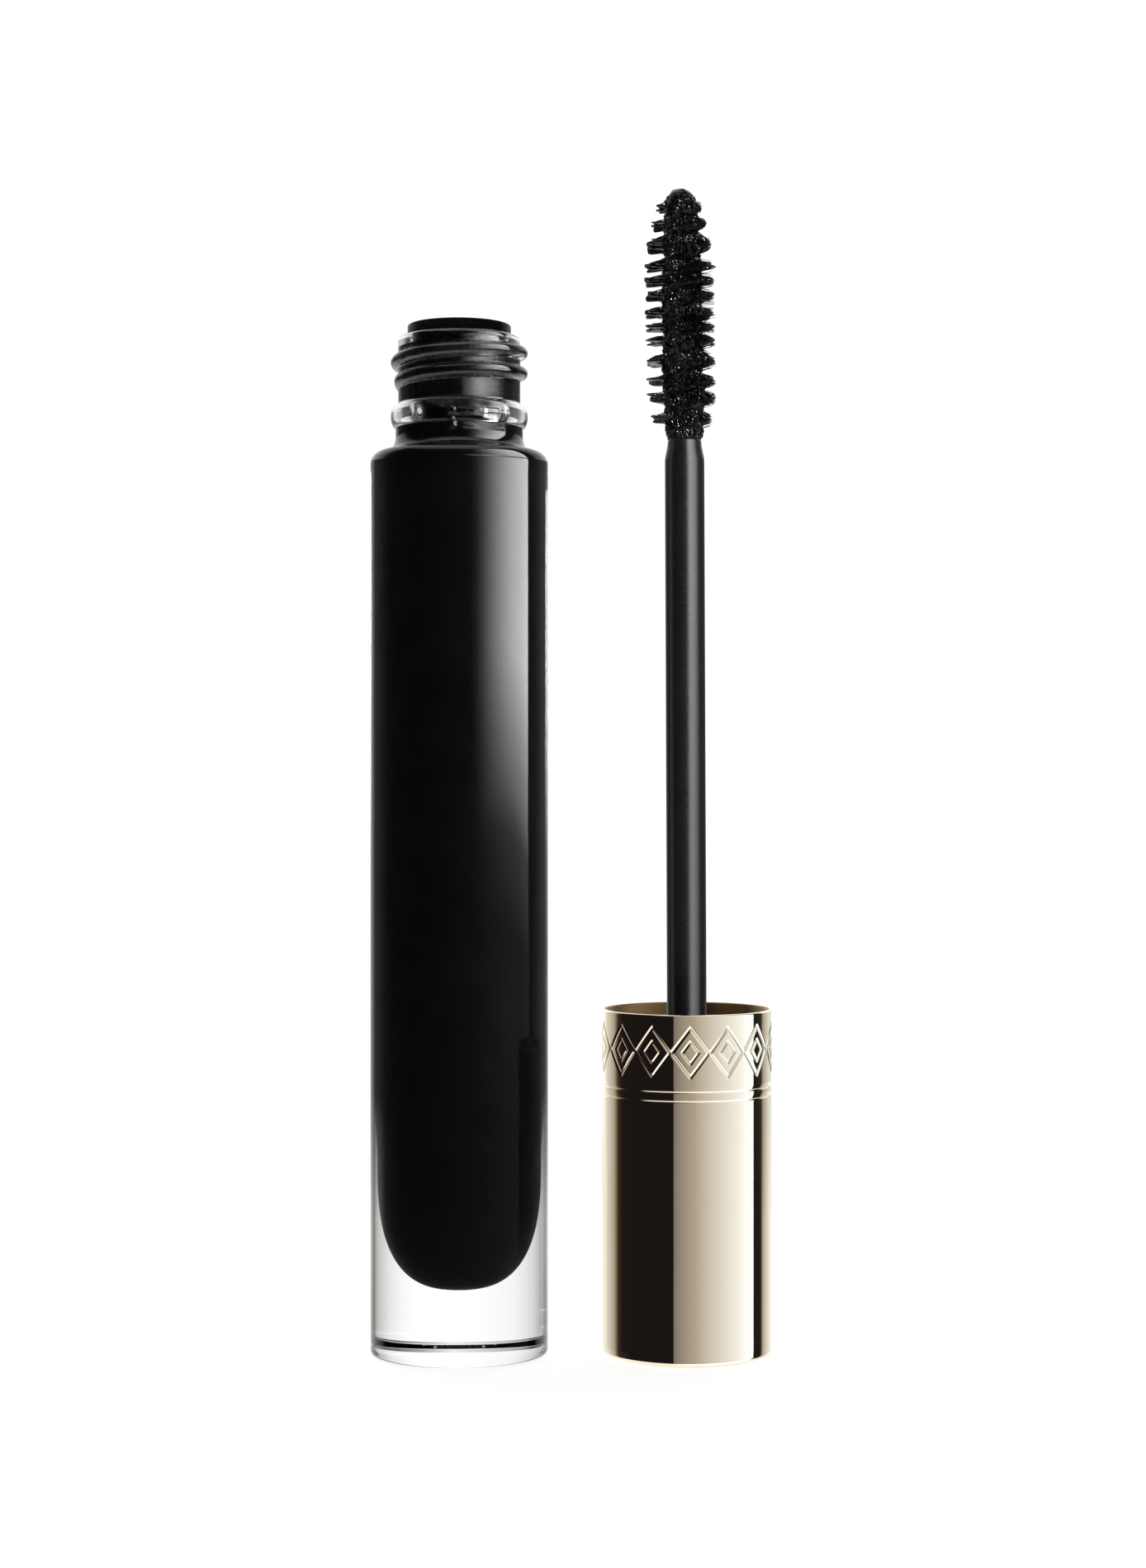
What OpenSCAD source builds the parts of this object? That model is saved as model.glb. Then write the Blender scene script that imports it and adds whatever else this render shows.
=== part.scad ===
// Mascara tube, open: a glass bottle with its wiper and filling stands at the origin, and the cap
// stands upside down beside it on +X with the wand pointing up. Millimetres, +Z up. The origin is
// the centre of the bottle's foot.

/* [Bottle] */
// Outer radius of the glass bottle
bottle_r = 8.75; // [8.6:0.05:9]
// Height of the shoulder above the foot
shoulder_z = 88.6; // [80:0.1:95]
// Radius of the rounded edge at the foot
foot_edge_r = 0.4; // [0.3:0.1:1.4]
// Radius of the rounded edge at the shoulder
shoulder_edge_r = 1.3; // [0.8:0.1:1.4]
// Rise of the foot's hollow at its middle
punt_h = 0.45; // [0.2:0.05:0.8]
// Radius of the space for the mascara
cavity_r = 5.6; // [5.4:0.05:5.8]
// Height of the lowest point of that space
cavity_z = 6.7; // [5:0.1:7]

/* [Neck] */
// Radius of the neck between its threads
neck_r = 6.02; // [5.9:0.01:6.05]
// Height of the neck above the shoulder
neck_h = 11.3; // [11.3:0.05:11.6]
// Radius of the hole in the neck
neck_bore_r = 4.87; // [4.8:0.01:4.9]
// Radius of the collar under the bead
collar_r = 6.27; // [6.1:0.01:6.4]
// Radius of the bead under the thread
bead_r = 6.75; // [6.5:0.01:6.8]
// Height of the bead
bead_h = 2.2; // [1.8:0.1:2.3]

/* [Thread] */
// Rise of the thread in one turn
pitch = 2; // [1.9:0.05:2]
// Height of the neck's thread above the neck
thread_h = 0.73; // [0.6:0.01:0.75]
// Width of the neck's thread at its foot
thread_w = 1.4; // [1.2:0.05:1.4]
// Turns of the neck's thread
thread_turns = 1.75; // [1.5:0.25:1.75]
// Turns of the cap's thread
cap_thread_turns = 1.25; // [1:0.25:1.25]

/* [Wiper] */
// Radius of the wiper's flange
wiper_flange_r = 5.1; // [5:0.05:5.4]
// Thickness of the wiper's flange
wiper_flange_h = 1.15; // [0.85:0.05:1.15]
// Radius of the hole that strips the wand
wiper_hole_r = 2.15; // [2.1:0.01:2.3]
// Length of the wiper below the flange
wiper_len = 13.3; // [12:0.1:14]

/* [Cap] */
// Distance from the bottle's axis to the cap's axis
cap_x = 22.4; // [19:0.1:30]
// Outer radius of the cap
cap_r = 8.38; // [8.35:0.01:8.5]
// Height of the cap
cap_h = 33.8; // [33.7:0.1:33.9]
// Thickness of the metal shell
shell_t = 0.45; // [0.3:0.01:0.46]
// Height of the lower groove above the closed end
groove_z = 25.5; // [22:0.1:26]
// Distance between the two grooves
groove_step = 0.9; // [0.6:0.1:1.2]
// Number of lozenges engraved round the band
lozenges = 14; // [8:1:20]

/* [Wand] */
// Radius of the stem
stem_r = 1.95; // [1.8:0.01:2]
// Height of the stem's end above the cap's closed end
stem_top = 89.8; // [80:0.1:95]
// Radius of the stem's end
stem_end_r = 1.63; // [1.3:0.01:1.8]

/* [Brush] */
// Length of the brush
brush_len = 23.2; // [20:0.1:24]
// Largest radius of the brush
brush_r = 3.58; // [3.2:0.01:3.7]
// Rise of the bristles in one turn
brush_pitch = 1.55; // [1.5:0.05:1.9]
// Radius of the twisted wire
wire_r = 0.4; // [0.3:0.05:0.5]

/* [Hidden] */
$fn = 96;
lip_z = shoulder_z + neck_h;
wiper_top = lip_z + wiper_flange_h;
collar_z = shoulder_z + 1.5;
bead_z = collar_z + 0.8;
thread_z = bead_z + bead_h + 2.1;      // middle of the thread's lower end
thread_start = -200;                   // its angle, anticlockwise from +X
cavity_top = shoulder_z - 0.6;         // where the cavity starts to narrow
bore_z = shoulder_z + 1.8;             // where it has narrowed to the neck's bore
cavity_taper_z = 27;                   // where its wall starts to lean in
cavity_taper = 0.3;                    // how far it leans in
cavity_rim_z = 18.7;                   // where its round bottom begins
cavity_power = 2.85;                   // an ellipse has 2, and a square corner has more

seal_z = 21.65;                        // where the wiper's flange comes to in the closed cap
closed_h = wiper_top + seal_z;
inner_top = 29.4;
floor_t = 1.2;
liner_t = 1.05;
floor_z = seal_z - liner_t - 0.05;
shell_gap = 0.03;
inner_r = cap_r - shell_t - shell_gap;
socket_r = 6.95;
crest_r = 6.35;
boss_r = 3.4;
stem_foot = 7;
end_t = 0.6;

// The cap's thread runs half a pitch below the neck's when the cap is closed. Seen from the
// upturned cap it is the same helix, counted back from the other end of the neck's thread.
cap_thread_start = 180 - 360 * thread_turns - thread_start - 360 * cap_thread_turns;
cap_thread_z = closed_h - thread_z + pitch / 2 - cap_thread_turns * pitch;

gap = 0.02;
brush_z = stem_top + 0.05;
coil_z = 0.4;                          // where the bristle row starts above brush_z
drop_r = 1.4;
drop_z = stem_top + brush_len + 0.15;
channel_r = brush_r + 0.37;
channel_z = closed_h - drop_z - drop_r - 0.25;

// Points of an arc, by its centre, its two radii and its first and last angle
function arc(c, rx, ry, a0, a1, n = 6) =
    [for (i = [0:n]) let (a = a0 + (a1 - a0) * i / n) c + [rx * cos(a), ry * sin(a)]];

// An S-shaped passage from one radius to another, between two heights
function ease(r0, z0, r1, z1, n = 8) =
    [for (i = [0:n]) let (t = i / n) [r0 + (r1 - r0) * (1 - cos(180 * t)) / 2, z0 + (z1 - z0) * t]];

// A bowl from below its rim down to the axis, by its radius and the heights of its rim and foot
function bowl(r, rim_z, foot_z, power, n = 18) =
    [for (i = [1:n]) let (a = 90 * i / n)
        [r * pow(cos(a), 2 / power), rim_z - (rim_z - foot_z) * pow(sin(a), 2 / power)]];

// The cavity's wall from the neck's bore down to the axis, moved inwards by a gap
function cavity_wall(inward) = concat(
    ease(neck_bore_r - inward, bore_z, cavity_r - inward, cavity_top),
    ease(cavity_r - inward, cavity_taper_z, cavity_r - cavity_taper - inward, cavity_rim_z),
    bowl(cavity_r - cavity_taper - inward, cavity_rim_z, cavity_z + inward, cavity_power));

function reversed(list) = [for (i = [len(list) - 1:-1:0]) list[i]];

// A smooth step from 0 to 1
function fade(t) = t <= 0 ? 0 : t >= 1 ? 1 : t * t * (3 - 2 * t);

// A closed solid through rings of points, the same number in each
module loft(rings) {
    n = len(rings[0]);
    m = len(rings);
    polyhedron(
        points = [for (ring = rings, p = ring) p],
        faces = concat(
            [[for (j = [n - 1:-1:0]) j]],
            [for (i = [0:m - 2], j = [0:n - 1])
                let (k = (j + 1) % n) each [
                    [i * n + j, (i + 1) * n + k, (i + 1) * n + j],
                    [i * n + j, i * n + k, (i + 1) * n + k]]],
            [[for (j = [0:n - 1]) (m - 1) * n + j]]
        )
    );
}

// A point at a radius and an angle round the axis
function polar(r, a, z) = [r * cos(a), r * sin(a), z];

// How far a helical ridge stands out at an angle and a height, as a share of its full height.
// It fades away at both ends, and its crest is flat over the given share of its width.
function ridge_share(a, z, turns, start, first_z, width, flat) = max([
    for (k = [floor(start / 360) - 1:ceil(turns + start / 360)])
        let (
            turn = (a - start) / 360 + k,
            f = turn < 0 || turn > turns ? 0 : 0.2 + 0.8 * fade(min(turn, turns - turn) * 6),
            d = f == 0 ? 1 : abs(z - first_z - pitch * turn) / (width * f / 2))
        d >= 1 ? 0 : f * min(1, flat > 0 ? (1 - d) / (1 - flat) : sqrt(1 - d * d))]);

// A round bar from z0 to z1 with a helical thread on its outside. A negative height is a groove's.
module threaded_bar(r, h, z0, z1, turns, start, first_z, width, flat = 0, sides = 48, rows = 30) {
    loft([for (i = [0:rows])
        let (z = z0 + (z1 - z0) * i / rows)
        [for (j = [sides - 1:-1:0])
            let (
                a = 360 * j / sides,
                share = i == 0 || i == rows ? 0
                    : ridge_share(a, z, turns, start, first_z, width, flat))
            polar(r + h * share, a, z)]]);
}

module foot_outline(top_z) {
    punt_r = bottle_r - foot_edge_r - 1;
    punt_radius = (punt_r * punt_r + punt_h * punt_h) / (2 * punt_h);
    punt_a = asin(punt_r / punt_radius);
    round_h = 0.8;
    fillet = 0.35;
    polygon(concat(
        arc([0, punt_h - punt_radius], punt_radius, punt_radius, 90, 90 - punt_a),
        arc([bottle_r - foot_edge_r, foot_edge_r], foot_edge_r, foot_edge_r, -90, 0, 8),
        arc([bottle_r - shoulder_edge_r, shoulder_z - shoulder_edge_r],
            shoulder_edge_r, shoulder_edge_r, 0, 90, 8),
        arc([bottle_r - shoulder_edge_r - 0.05, collar_z],
            bottle_r - shoulder_edge_r - 0.05 - collar_r, collar_z - shoulder_z, -90, -180, 8),
        arc([collar_r, bead_z + round_h], bead_r - collar_r, round_h, -90, 0, 6),
        arc([neck_r + fillet, bead_z + bead_h - round_h], bead_r - neck_r - fillet, round_h, 0, 90, 6),
        arc([neck_r + fillet, bead_z + bead_h + fillet], fillet, fillet, -90, -180, 4),
        [[neck_r, top_z], [0, top_z]]));
}

module cavity_outline() {
    polygon(concat(
        [[0, lip_z + 1], [neck_bore_r, lip_z + 1]], cavity_wall(0)));
}

module glass_bottle() {
    lug_w = 0.7;
    lug_h = 2.8;
    low_z = bead_z + bead_h + 0.4;
    high_z = lip_z - 0.6;
    color([0.93, 0.95, 0.95, 0.5]) difference() {
        union() {
            rotate_extrude() foot_outline(low_z);
            threaded_bar(neck_r - gap, thread_h, low_z, high_z, thread_turns, thread_start,
                thread_z, thread_w);
            rotate_extrude() polygon(concat(
                [[0, high_z], [neck_r, high_z]],
                arc([neck_r - 0.5, lip_z - 0.5], 0.5, 0.5, 0, 90), [[0, lip_z]]));
            // the moulded stop on the bead, on the side away from +Y
            translate([-lug_w / 2, -bead_r - 0.12, collar_z - 0.4]) cube([lug_w, 1, lug_h]);
            translate([0, -bead_r - 0.1, bead_z + bead_h * 0.55]) cube([2.1, 0.6, 0.4]);
        }
        rotate_extrude() cavity_outline();
    }
}

module wiper() {
    sleeve_r = neck_bore_r - gap;
    mouth_r = 4;
    throat_r = 3.6;
    low_z = lip_z - wiper_len;
    color([0.03, 0.03, 0.03]) rotate_extrude() polygon(concat(
        [[wiper_hole_r, low_z], [wiper_hole_r + 0.35, low_z - 0.2]],
        [[throat_r + 0.4, low_z + 5.4], [sleeve_r, low_z + 6.4], [sleeve_r, lip_z]],
        [[wiper_flange_r, lip_z]],
        arc([wiper_flange_r - 0.35, wiper_top - 0.35], 0.35, 0.35, 0, 90),
        arc([mouth_r + 0.3, wiper_top - 0.3], 0.3, 0.3, 90, 180),
        [[throat_r, wiper_top - 2.4], [throat_r, low_z + 6.2], [wiper_hole_r, low_z + 1.2]]));
}

// The paste fills the bottle up to the wiper's cone, and this solid leaves the room that the wand
// takes up in it
module mascara_fill() {
    top_z = lip_z - wiper_len + 5;
    channel_rim_z = channel_z + 9;
    color([0.02, 0.02, 0.02]) rotate_extrude() polygon(concat(
        [[channel_r, top_z], [neck_bore_r - gap, top_z]],
        cavity_wall(gap),
        reversed(bowl(channel_r, channel_rim_z, channel_z, 2)), [[channel_r, channel_rim_z]]));
}

// A closed lozenge outline round the shell, standing upright
module lozenge(w, h, line) {
    for (sx = [-1, 1], sz = [-1, 1])
        translate([cap_r, sx * w / 4, sz * h / 4])
            rotate([sx * sz * atan(w / h), 0, 0])
                cube([0.2, line, norm([w, h]) / 2 + line], center = true);
}

module cap_shell() {
    groove_w = 0.22;
    groove_d = 0.12;
    edge = 0.6;
    band_z = (groove_z + groove_step + cap_h) / 2 + 0.1;
    color([0.83, 0.76, 0.62]) translate([cap_x, 0, 0]) difference() {
        rotate_extrude() polygon(concat(
            [[0, 0]],
            arc([cap_r - edge, edge], edge, edge, -90, 0),
            arc([cap_r - 0.12, cap_h - 0.12], 0.12, 0.12, 0, 90, 3),
            arc([cap_r - shell_t + 0.12, cap_h - 0.12], 0.12, 0.12, 90, 180, 3),
            [[cap_r - shell_t, end_t], [0, end_t]]));
        for (i = [0, 1])
            translate([0, 0, groove_z + i * groove_step - groove_w / 2]) difference() {
                cylinder(r = cap_r + 1, h = groove_w);
                translate([0, 0, -1]) cylinder(r = cap_r - groove_d, h = groove_w + 2);
            }
        for (i = [0:lozenges - 1])
            rotate(360 * (i + 0.5) / lozenges) translate([0, 0, band_z]) lozenge(2.6, 4.6, 0.16);
    }
}

module inner_cap() {
    skirt_r = 7.05;
    hole_r = stem_r + gap;
    ribs = 6;
    low_z = end_t + 0.1;
    thread_low = cap_thread_z - 1;
    thread_high = inner_top - 0.15;
    color([0.12, 0.11, 0.1]) translate([cap_x, 0, 0]) difference() {
        union() {
            rotate_extrude() polygon([
                [skirt_r, low_z], [inner_r, low_z], [inner_r, inner_top], [0, inner_top],
                [0, floor_z - floor_t], [skirt_r, floor_z - floor_t]]);
            translate([0, 0, stem_foot - 1]) cylinder(r = boss_r, h = floor_z - stem_foot);
            for (i = [0:ribs - 1])
                rotate(360 * i / ribs)
                    translate([boss_r - 0.4, -0.4, stem_foot])
                        cube([skirt_r - boss_r + 0.8, 0.8, floor_z - stem_foot - floor_t + 0.2]);
        }
        translate([0, 0, floor_z]) cylinder(r = socket_r, h = thread_low - floor_z);
        threaded_bar(socket_r - gap, crest_r - socket_r, thread_low, thread_high,
            cap_thread_turns, cap_thread_start, cap_thread_z, 1.2, 0.4, 48, 22);
        translate([0, 0, thread_high]) cylinder(r = socket_r, h = 3);
        translate([0, 0, stem_foot]) cylinder(r = hole_r, h = floor_z - stem_foot + 1);
        translate([0, 0, stem_foot + 3]) cylinder(r = hole_r + 0.3, h = 1);
    }
}

module cap_liner() {
    color([0.85, 0.85, 0.83]) translate([cap_x, 0, floor_z + gap / 2])
        difference() {
            cylinder(r = 6.2, h = liner_t);
            translate([0, 0, -1]) cylinder(r = stem_r + 0.35, h = liner_t + 2);
        }
}

module wand_stem() {
    taper = 2.1;
    snap_z = stem_foot + 3.1;
    core_depth = 8;
    color([0.1, 0.1, 0.11]) translate([cap_x, 0, 0]) difference() {
        union() {
            translate([0, 0, stem_foot + gap]) cylinder(r = stem_r, h = stem_top - taper - stem_foot - gap);
            translate([0, 0, stem_top - taper]) cylinder(r1 = stem_r, r2 = stem_end_r, h = taper);
            translate([0, 0, snap_z]) cylinder(r = stem_r + 0.25, h = 0.8);
        }
        translate([0, 0, stem_top - core_depth]) cylinder(r = wire_r + gap / 2, h = core_depth + 1);
    }
}

module wire_core() {
    depth = 7.9;
    color([0.6, 0.6, 0.62]) translate([cap_x, 0, stem_top - depth])
        cylinder(r = wire_r, h = depth + brush_len + 0.1);
}

// The brush's radius along its length, t from 0 at the stem to 1 at the tip
function brush_radius(t) =
    t < 0.2 ? brush_r * (0.45 + 0.5 * fade(t / 0.2))
    : t < 0.55 ? brush_r * (0.95 + 0.05 * sin(90 * min(1, (t - 0.2) / 0.1)))
    : brush_r * (0.42 + 0.58 * cos(90 * pow((t - 0.55) / 0.45, 2.2)));

// A flat-sided coil between the wire and a radius that follows the brush
module coil(scale_r, width, shift, steps = 18) {
    turns = (brush_len - 2 * coil_z - brush_pitch / 2 - 0.2) / brush_pitch;
    count = floor(turns * steps);
    inner = wire_r + gap;
    loft([for (i = [0:count])
        let (
            a = 360 * i / steps,
            z = coil_z + shift + brush_pitch * i / steps,
            r = brush_radius(z / brush_len) * scale_r)
        [polar(inner, a, z - width / 2), polar(r, a, z - width * 0.3),
            polar(r, a, z + width * 0.3), polar(inner, a, z + width / 2)]]);
}

module bristles() {
    color([0.06, 0.06, 0.06]) translate([cap_x, 0, brush_z]) coil(1, 0.8, 0);
}

module mascara_coat() {
    color([0.01, 0.01, 0.01]) translate([cap_x, 0, brush_z]) coil(0.52, 0.55, brush_pitch / 2);
}

module tip_drop() {
    color([0.01, 0.01, 0.01]) translate([cap_x, 0, drop_z])
        rotate_extrude() polygon(concat([[0, 0]], arc([0, 0], drop_r, drop_r, 0, 90, 8)));
}

glass_bottle();
wiper();
mascara_fill();
cap_shell();
inner_cap();
cap_liner();
wand_stem();
wire_core();
bristles();
mascara_coat();
tip_drop();
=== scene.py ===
"""An open mascara: a thick glass bottle, and beside it the upturned gold cap with stem and brush."""

import math

import bpy
import numpy as np
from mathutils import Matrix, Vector


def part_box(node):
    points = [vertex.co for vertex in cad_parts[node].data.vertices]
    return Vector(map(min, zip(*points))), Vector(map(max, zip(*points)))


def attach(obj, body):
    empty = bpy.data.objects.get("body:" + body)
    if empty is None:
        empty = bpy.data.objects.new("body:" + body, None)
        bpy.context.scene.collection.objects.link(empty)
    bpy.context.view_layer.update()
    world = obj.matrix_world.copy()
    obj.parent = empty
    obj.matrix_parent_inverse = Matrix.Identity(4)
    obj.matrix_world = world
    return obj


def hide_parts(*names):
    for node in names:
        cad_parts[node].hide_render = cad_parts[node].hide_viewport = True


MM = 0.001
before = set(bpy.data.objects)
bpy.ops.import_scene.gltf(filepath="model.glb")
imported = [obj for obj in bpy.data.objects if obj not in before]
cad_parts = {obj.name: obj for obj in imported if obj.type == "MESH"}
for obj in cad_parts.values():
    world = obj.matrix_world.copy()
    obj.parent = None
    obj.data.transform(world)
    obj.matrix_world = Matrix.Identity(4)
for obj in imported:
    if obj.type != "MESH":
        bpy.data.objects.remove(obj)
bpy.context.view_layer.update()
rng = np.random.default_rng(7)


def box_of(node):
    """A CAD node's lowest and highest corner, in millimetres."""
    low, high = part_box(node)
    return np.array(low) / MM, np.array(high) / MM


# ---------------------------------------------------------------- driving sizes, in millimetres
glass_low, glass_high = box_of("glass_bottle")
shell_low, shell_high = box_of("cap_shell")
wiper_low, wiper_high = box_of("wiper")
stem_low, stem_high = box_of("wand_stem")
fins_low, fins_high = box_of("bristles")
drop_high = box_of("tip_drop")[1]

BOTTLE_R = (glass_high[0] - glass_low[0]) / 2
LIP_Z = glass_high[2]
CAP_X = (shell_low[0] + shell_high[0]) / 2
CAP_R = (shell_high[0] - shell_low[0]) / 2
CAP_H = shell_high[2]
STEM_R = 1.95
STEM_TOP = stem_high[2]
BRUSH_R = (fins_high[1] - fins_low[1]) / 2
BRUSH_LOW = STEM_TOP
BRUSH_HIGH = drop_high[2]
BRUSH_LEN = BRUSH_HIGH - BRUSH_LOW

# the neck: its thread is a helix from THREAD_START, in degrees, and THREAD_Z up
SHOULDER_Z = LIP_Z - 11.3
NECK_R = 6.02
COLLAR_R = 6.27
BEAD_H = 2.2
THREAD_PITCH = 2.0
THREAD_H = 0.73
THREAD_W = 1.45
THREAD_START = -200.0
THREAD_TURNS = 1.75
THREAD_Z = LIP_Z - 4.7

# the cavity: the neck's bore, the straight wall, a slight taper, and a bowl under its rim
BORE_R = 4.87
BORE_Z = SHOULDER_Z + 1.8
CAVITY_R = 5.6
CAVITY_TOP = SHOULDER_Z - 0.6
CAVITY_TAPER_Z = 27.0
CAVITY_TAPER = 0.3
CAVITY_RIM = 18.7
CAVITY_Z = box_of("mascara_fill")[0][2] - 0.02
CAVITY_POWER = 2.85

# the room in the mascara that the lowered wand takes up
CHANNEL_R = 4.5
CHANNEL_Z = CAVITY_Z + 1.2

# where the photograph was taken from
CAMERA_AT = (11.2, -268.6, 55.9)
CAMERA_LENS = 62.6

# what the studio shows where it is darkest, and how bright its white is
CARD_DARK = (0.011, 0.009, 0.009)
STUDIO_WHITE = 1.1


# ---------------------------------------------------------------- camera and studio
def make_camera():
    """At the photograph's viewing angle: level, about mid-height, between the two pieces."""
    camera = bpy.data.cameras.new("camera")
    camera.lens = CAMERA_LENS
    camera.sensor_width = 36.0
    camera.clip_start = 0.01
    camera.clip_end = 20.0
    holder = bpy.data.objects.new("camera", camera)
    holder.location = Vector(CAMERA_AT) * MM
    holder.rotation_euler = (math.radians(90), 0, 0)
    bpy.context.scene.collection.objects.link(holder)
    bpy.context.scene.camera = holder


def node_tree(owner):
    """The owner's node tree, emptied."""
    owner.use_nodes = True
    tree = owner.node_tree
    tree.nodes.clear()
    return tree


def add(tree, kind, **settings):
    """A new node. Each setting is an input's value, or else a property of the node."""
    node = tree.nodes.new(kind)
    for key, value in settings.items():
        if key in node.inputs:
            node.inputs[key].default_value = value
        else:
            setattr(node, key, value)
    return node


def math_node(tree, operation, a, b=None, c=None):
    """The result of a sum on numbers or sockets."""
    node = add(tree, "ShaderNodeMath", operation=operation)
    for socket, value in zip(node.inputs, (a, b, c)):
        if value is None:
            continue
        if isinstance(value, (int, float)):
            socket.default_value = value
        else:
            tree.links.new(value, socket)
    return node.outputs[0]


def ramp_node(tree, source, stops):
    """A colour that runs through the stops, each a position from 0 to 1 and its colour."""
    node = add(tree, "ShaderNodeValToRGB")
    elements = node.color_ramp.elements
    elements.remove(elements[1])
    elements[0].position = stops[0][0]
    elements[0].color = (*stops[0][1], 1.0)
    for position, colour in stops[1:]:
        elements.new(position).color = (*colour, 1.0)
    tree.links.new(source, node.inputs[0])
    return node.outputs[0]


def grey(value):
    return (value, value, value)


EVEN = [(0.0, grey(1)), (1.0, grey(1))]


def make_world():
    """White behind. A dark card stands in front and reaches round both sides. Over and under the
    card the pale studio shows from the sides on, and far above and below all is white."""
    world = bpy.data.worlds.new("studio")
    bpy.context.scene.world = world
    tree = node_tree(world)
    direction = add(tree, "ShaderNodeSeparateXYZ")
    tree.links.new(add(tree, "ShaderNodeTexCoord").outputs["Generated"], direction.inputs[0])
    x, y, z = direction.outputs
    azimuth = math_node(tree, "ARCTAN2", x, math_node(tree, "MULTIPLY", y, -1.0))
    turn = math_node(tree, "MULTIPLY_ADD", azimuth, 1 / (2 * math.pi), 0.5)
    below = math_node(tree, "MULTIPLY", z, -1.0)
    height = math_node(tree, "MULTIPLY_ADD", z, 0.5, 0.5)

    # azimuths in degrees: 0 is towards the camera and 90 is +X
    card = [(-180, (0.9, 0.9, 0.92)), (-163, grey(0.6)), (-146, grey(0.36)), (-138, grey(0.09)),
            (-120, grey(0.05)), (-106, CARD_DARK), (98, CARD_DARK), (118, grey(0.03)),
            (130, grey(0.10)), (152, grey(0.14)), (166, grey(0.4)), (180, (0.9, 0.9, 0.92))]
    table = [(-180, grey(1.13)), (-152, (1.0, 1.0, 1.02)), (-143, grey(0.9)), (-133, grey(0.78)),
             (-119, (0.5, 0.48, 0.45)), (-110, (0.09, 0.06, 0.05)), (-106, (0.04, 0.025, 0.02)),
             (-85, CARD_DARK), (98, CARD_DARK), (117, (0.02, 0.017, 0.014)),
             (121, (0.34, 0.32, 0.29)), (126, (0.58, 0.56, 0.52)), (143, grey(0.9)),
             (160, grey(1.08)), (180, grey(1.13))]

    def around_ramp(stops):
        return ramp_node(tree, turn, [((angle + 180) / 360, colour) for angle, colour in stops])

    def past_elevation(rise, first, last):
        """From 0 to 1 between two elevations in degrees."""
        return ramp_node(tree, rise, [(math.sin(math.radians(first)), grey(0)),
                                      (math.sin(math.radians(last)), grey(1))])

    def mix_by(share, first, second):
        mix = add(tree, "ShaderNodeMix", data_type="RGBA")
        tree.links.new(share, mix.inputs[0])
        tree.links.new(first, mix.inputs[6])
        if isinstance(second, tuple):
            mix.inputs[7].default_value = (*second, 1.0)
        else:
            tree.links.new(second, mix.inputs[7])
        return mix.outputs[2]

    outside_card = math_node(tree, "MAXIMUM", past_elevation(below, 6.5, 9.0),
                             past_elevation(z, 9.9, 10.8))
    sides = mix_by(outside_card, around_ramp(card), around_ramp(table))
    far_off = ramp_node(tree, height, [(0.24, grey(1)), (0.29, grey(0)), (0.90, grey(0)),
                                       (0.97, grey(1))])
    around = add(tree, "ShaderNodeBackground")
    tree.links.new(mix_by(far_off, sides, grey(STUDIO_WHITE)), around.inputs["Color"])
    behind = add(tree, "ShaderNodeBackground", Color=(1.0, 1.0, 1.0, 1.0), Strength=STUDIO_WHITE)
    pick = add(tree, "ShaderNodeMixShader")
    tree.links.new(add(tree, "ShaderNodeLightPath").outputs["Is Camera Ray"], pick.inputs[0])
    tree.links.new(around.outputs[0], pick.inputs[1])
    tree.links.new(behind.outputs[0], pick.inputs[2])
    tree.links.new(pick.outputs[0], add(tree, "ShaderNodeOutputWorld").inputs[0])


def make_floor():
    """Pale and plain. Polished surfaces mirror the studio instead of it."""
    bpy.ops.mesh.primitive_plane_add(size=8.0, location=(0, 0, -0.0001))
    floor = bpy.context.object
    floor.name = "floor"
    floor.visible_glossy = False
    floor.visible_transmission = False
    floor.visible_shadow = False
    material = bpy.data.materials.new("floor")
    tree = node_tree(material)
    glow = add(tree, "ShaderNodeEmission", Color=(1, 1, 1, 1), Strength=0.86)
    paint = add(tree, "ShaderNodeBsdfDiffuse", Color=(0.42, 0.42, 0.42, 1))
    both = add(tree, "ShaderNodeAddShader")
    tree.links.new(glow.outputs[0], both.inputs[0])
    tree.links.new(paint.outputs[0], both.inputs[1])
    tree.links.new(both.outputs[0], add(tree, "ShaderNodeOutputMaterial").inputs[0])
    floor.data.materials.append(material)


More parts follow.
